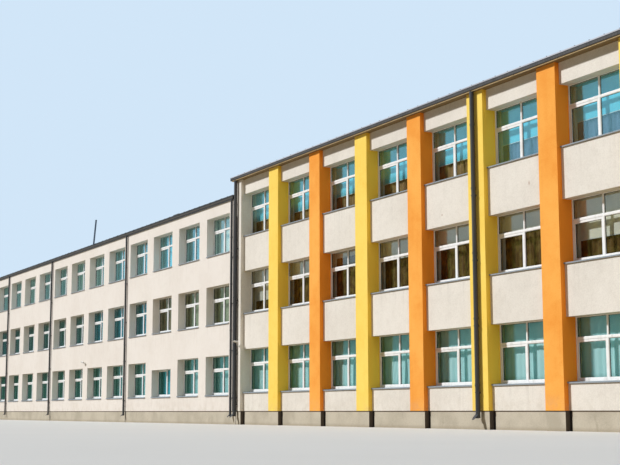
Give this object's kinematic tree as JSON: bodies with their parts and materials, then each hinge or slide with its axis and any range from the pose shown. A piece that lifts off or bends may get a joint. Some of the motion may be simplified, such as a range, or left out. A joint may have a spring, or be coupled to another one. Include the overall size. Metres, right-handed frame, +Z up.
{
  "type": "school building, 1:2 scale model",
  "caption": "Three-storey school building in two wings: a plain rendered wall with single windows, and window bays between yellow and orange pilasters.",
  "frame": {"origin": "on the ground, in the middle of the plan", "axes": "+X along the street front, from the plain wing to the wing with coloured pilasters; +Y from the street front into the building; +Z up"},
  "size_m": [32.194, 6.7234, 5.8565],
  "materials": {
    "wall_render": "off-white painted render, matt",
    "plinth_render": "grey-beige render, matt",
    "yellow_render": "yellow painted render, matt",
    "orange_render": "orange painted render, matt",
    "floor_concrete": "bare concrete",
    "roof_sheet": "dark grey sheet, satin",
    "eaves_metal": "dark grey sheet, satin",
    "soffit_board": "beige boarding",
    "frame_white": "white window profile",
    "window_glass": "clear glass",
    "sill_metal": "dark grey sheet, satin",
    "pipe_metal": "dark grey pipe, satin",
    "camera_shell": "pale housing",
    "mast_steel": "dull steel tube"
  },
  "bodies": {
    "root": {"left_plinth": "plinth_render", "right_plinth": "plinth_render", "pilaster_bases": "plinth_render", "left_front_bands": "wall_render", "left_front_piers": "wall_render", "left_back_bands": "wall_render", "left_back_piers": "wall_render", "low_window_head": "wall_render", "left_end_wall": "wall_render", "step_wall": "wall_render", "right_end_wall": "wall_render", "white_pilasters": "wall_render", "yellow_pilasters": "yellow_render", "orange_pilasters": "orange_render", "ground_spandrels": "wall_render", "first_floor_spandrels": "wall_render", "second_floor_spandrels": "wall_render", "top_spandrels": "wall_render", "left_floors": "floor_concrete", "right_floors": "floor_concrete", "left_roof": "roof_sheet", "right_roof": "roof_sheet", "left_eaves_bands": "eaves_metal", "right_eaves_bands": "eaves_metal", "left_verge": "eaves_metal", "right_verges": "eaves_metal", "right_soffits": "soffit_board", "left_front_frames": "frame_white", "left_back_frames": "frame_white", "right_front_frames": "frame_white", "right_back_frames": "frame_white", "left_front_glass": "window_glass", "left_back_glass": "window_glass", "right_front_glass": "window_glass", "right_back_glass": "window_glass", "left_front_sills": "sill_metal", "left_back_sills": "sill_metal", "right_front_sills": "sill_metal", "right_back_sills": "sill_metal", "left_downpipes": "pipe_metal", "right_downpipes": "pipe_metal", "roof_mast": "mast_steel", "roof_vent": "roof_sheet", "wall_cameras": "camera_shell"}
  },
  "joints": []
}
